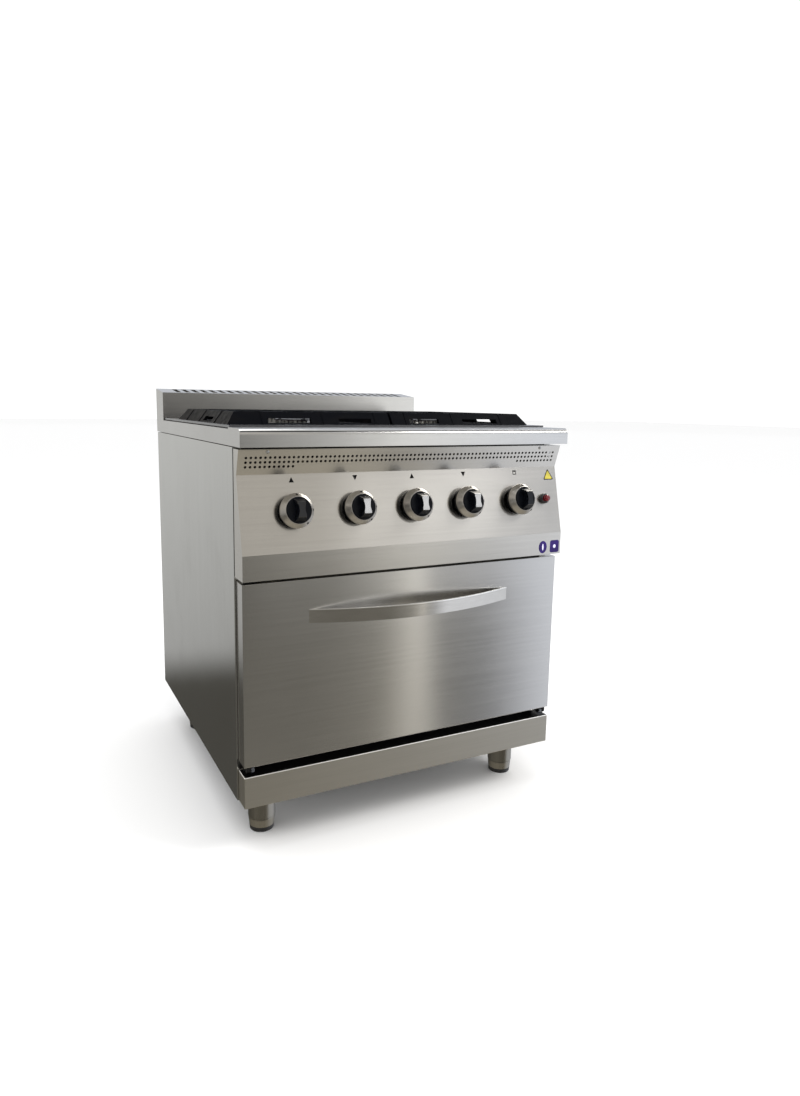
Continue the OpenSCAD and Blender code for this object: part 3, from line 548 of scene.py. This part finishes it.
def electrodes():
    """A ceramic spark electrode beside each burner."""
    tall = 26
    ceramic = [(0, 0), (3.6, 0), (3.6, 12), (2.6, 14), (2.6, 17), (3.2, 18), (3.2, 24), (1.6, tall), (0, tall)]
    tip = [(0, 0), (0.9, 0), (0.9, 7), (0.5, 8.5), (0, 8.5)]
    for burner in BURNERS:
        low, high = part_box("crown_" + burner)
        middle = (low + high) / 2
        reach = (high.x - low.x) / 2 + 9 * MM
        inward = -1.0 if middle.x > 0 else 1.0
        foot = Vector((middle.x + inward * reach, middle.y - 22 * MM, low.z - 3 * MM))
        lathe("electrode_" + burner, ceramic, Matrix.Translation(foot), "cabinet", "ceramic", 32)
        top = Matrix.Translation(foot + Vector((0, 0, tall * MM)))
        lathe("electrode_tip_" + burner, tip, top, "cabinet", "screw_steel", 16)


def door_fixings():
    """Pan-head screws round the inner face of the door."""
    low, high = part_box("door_liner")
    inset = 16 * MM
    face_y = high.y - 12 * MM
    profile = [(0, 0), (4.2, 0), (4.2, 0.9), (3.4, 2.0), (1.9, 2.5), (1.9, 1.2), (0, 1.2)]
    turn = Matrix.Rotation(radians(-90), 4, "X")
    columns = 6
    for row, z in enumerate((low.z + inset, high.z - inset)):
        for i in range(columns):
            x = low.x + inset + (high.x - low.x - 2 * inset) * i / (columns - 1)
            place = Matrix.Translation(Vector((x, face_y, z))) @ turn
            name = "door_screw_%02d" % (row * columns + i + 1)
            lathe(name, profile, place, "door", "screw_steel", 24)


panel_marks()
stickers()
ring_marks()
electrodes()
door_fixings()


# ---- Floor, light and camera ----

def floor():
    g = Graph("pale_floor")
    g.set(Base_Color=(0.9, 0.9, 0.9, 1.0), Roughness=0.9, Specular_IOR_Level=0.1)
    half = 40.0
    mesh = bpy.data.meshes.new("floor")
    mesh.from_pydata([(-half, -half, 0.0), (half, -half, 0.0), (half, half, 0.0), (-half, half, 0.0)],
                     [], [(0, 1, 2, 3)])
    mesh.materials.append(g.material)
    made = bpy.data.objects.new("floor", mesh)
    bpy.context.scene.collection.objects.link(made)
    made.visible_glossy = False


# Brightness of the room that the steel reflects, by bearing from the front towards +X, in degrees:
# near the floor, at eye level and overhead.
LOW_ROOM = [(-180, 0.07), (-120, 0.1), (-60, 0.2), (-20, 0.14), (0, 0.16), (20, 0.165), (25, 0.21), (27.6, 0.28),
            (29.5, 1.0), (30.9, 0.22), (32.5, 0.17), (35, 0.22), (37, 0.4), (39, 0.75), (41, 1.0), (55, 1.0),
            (90, 1.0), (120, 0.3), (180, 0.07)]
EYE_ROOM = [(-180, 0.66), (-120, 0.62), (-60, 0.5), (-10, 0.1), (11, 0.1), (15, 0.2), (17, 0.5), (22, 0.55),
            (28, 1.4), (38, 1.1), (60, 1.0), (90, 1.0), (120, 0.7), (180, 0.66)]
HIGH_ROOM = [(-180, 0.7), (-60, 0.7), (0, 0.6), (20, 0.58), (27, 0.36), (36, 0.42), (45, 0.6), (180, 0.7)]
# Tints of the room at those three heights, and of the daylight on its right
LOW_TINT = (1.03, 0.98, 0.86)
EYE_TINT = (1.0, 1.0, 0.98)
HIGH_TINT = (1.03, 0.99, 0.92)
DAYLIGHT = (0.95, 0.99, 1.08)
# Bearing and height of each lamp, in degrees, as the fronts of knobs 2 to 4 mirror it
LAMPS = {"2": (26.55, 15.57), "3": (31.07, 14.94), "4": (35.08, 14.3)}
LAMP_DISTANCE = 28.0


def heading(bearing, height):
    """The direction with this bearing from the front and this height, in degrees."""
    bearing, height = radians(bearing), radians(height)
    return Vector((sin(bearing) * cos(height), -cos(bearing) * cos(height), sin(height)))


def room():
    """A shell round the range that only reflections see: a floor, walls and ceiling, with daylight on the right."""
    bpy.ops.mesh.primitive_uv_sphere_add(segments=64, ring_count=32, radius=30.0)
    shell = bpy.context.object
    shell.name = "room"
    g = Graph("room")

    def between(value, start, end):
        return g.span(value, 0.0, 1.0, start, end, interpolation_type="SMOOTHSTEP")

    def bearing_ramp(stops, tone):
        ramp = g.node("ValToRGB", {"Fac": turn})
        elements = ramp.color_ramp.elements
        while len(elements) > 1:
            elements.remove(elements[-1])
        for i, (degrees, light) in enumerate(stops):
            element = elements[0] if i == 0 else elements.new((degrees + 180) / 360)
            element.position = (degrees + 180) / 360
            cool = min(1.0, max(0.0, (degrees - 28) / 10))
            element.color = tuple(light * (t + (c - t) * cool) for t, c in zip(tone, DAYLIGHT)) + (1.0,)
        return ramp.outputs[0]

    direction = g.node("VectorMath", operation="NORMALIZE")
    g.feed(direction.inputs[0], g.place)
    x, y, z = g.split(direction.outputs[0])
    forward = g.calc("MULTIPLY", y, -1.0)
    bearing = g.calc("ARCTAN2", x, forward)
    turn = g.calc("ADD", g.calc("DIVIDE", bearing, 2 * pi), 0.5)
    height = g.calc("MULTIPLY", g.calc("ARCSINE", z), 180 / pi)
    # The lit wall reaches lower, and ends more sharply, behind the range than in front of it
    skirting = g.calc("ADD", g.calc("MULTIPLY", forward, 5.25), -13.75)
    softness = g.calc("ADD", g.calc("MULTIPLY", forward, 1.5), 3.0)
    above = g.calc("DIVIDE", g.calc("SUBTRACT", height, skirting), softness)
    # The wall is dimmer towards its foot
    wall = g.blend(g.span(height, 0.62, 1.0, -22.0, 0.0), (0.0, 0.0, 0.0, 1.0), bearing_ramp(EYE_ROOM, EYE_TINT))
    colour = g.blend(between(above, -1.0, 1.0), bearing_ramp(LOW_ROOM, LOW_TINT), wall)
    colour = g.blend(between(height, 3.0, 12.0), colour, bearing_ramp(HIGH_ROOM, HIGH_TINT))
    colour = g.blend(between(height, -31.0, -40.0), colour, (0.52, 0.48, 0.4, 1.0))
    colour = g.blend(between(height, 50.0, 80.0), colour, (0.8, 0.8, 0.78, 1.0))
    emission = g.node("Emission", {"Color": colour})
    g.tree.nodes.remove(g.shader)
    g.feed(g.tree.nodes["Material Output"].inputs["Surface"], emission.outputs[0])
    g.material.cycles.emission_sampling = "NONE"
    shell.data.materials.append(g.material)
    for kind in ("camera", "diffuse", "transmission", "volume_scatter", "shadow"):
        setattr(shell, "visible_" + kind, False)


def area_light(name, place, aim, size, power, colour=(1.0, 1.0, 1.0), shape="SQUARE"):
    data = bpy.data.lights.new(name, "AREA")
    data.shape = shape
    data.size = size
    data.energy = power
    data.color = colour
    made = bpy.data.objects.new(name, data)
    made.location = place
    made.rotation_euler = (Vector(aim) - Vector(place)).to_track_quat("-Z", "Y").to_euler()
    bpy.context.scene.collection.objects.link(made)


def studio():
    world = bpy.data.worlds.new("studio")
    bpy.context.scene.world = world
    world.use_nodes = True
    background = world.node_tree.nodes["Background"]
    background.inputs["Color"].default_value = (1.0, 1.0, 1.0, 1.0)
    background.inputs["Strength"].default_value = 1.12
    world.cycles_visibility.glossy = False
    area_light("key", (2.6, -2.2, 3.4), (0.0, -0.1, 0.5), 1.6, 90.0, (1.0, 0.98, 0.95))
    area_light("top", (-0.6, 0.2, 3.6), (0.0, 0.0, 0.6), 2.6, 40.0)
    for k, seen in LAMPS.items():
        grip = on_panel(knob_middle(k), 0.0, GRIP_FACE).translation
        area_light("lamp_" + k, grip + heading(*seen) * LAMP_DISTANCE, grip, 0.85, 20.0, shape="DISK")


def camera():
    """The photograph's viewpoint, solved from the corners of the body."""
    yaw, pitch, roll = 0.466, -0.152, 0.015
    ahead = Vector((sin(yaw) * cos(pitch), cos(yaw) * cos(pitch), sin(pitch)))
    level = Vector((cos(yaw), -sin(yaw), 0.0))
    rise = level.cross(ahead)
    right = level * cos(roll) + rise * sin(roll)
    up = rise * cos(roll) - level * sin(roll)
    data = bpy.data.cameras.new("camera")
    data.lens = 24.85
    data.sensor_width = 36.0
    data.shift_x = 0.018
    data.shift_y = -0.0253
    made = bpy.data.objects.new("camera", data)
    place = Matrix((right, up, -ahead)).transposed().to_4x4()
    place.translation = Vector((-0.8107, -1.8298, 0.9499))
    made.matrix_world = place
    bpy.context.scene.collection.objects.link(made)
    bpy.context.scene.camera = made


floor()
room()
studio()
camera()
bpy.context.scene.view_settings.view_transform = "Standard"


# ---- Sizes ----

def corners(box):
    return [[round(value, 5) for value in corner] for corner in box]
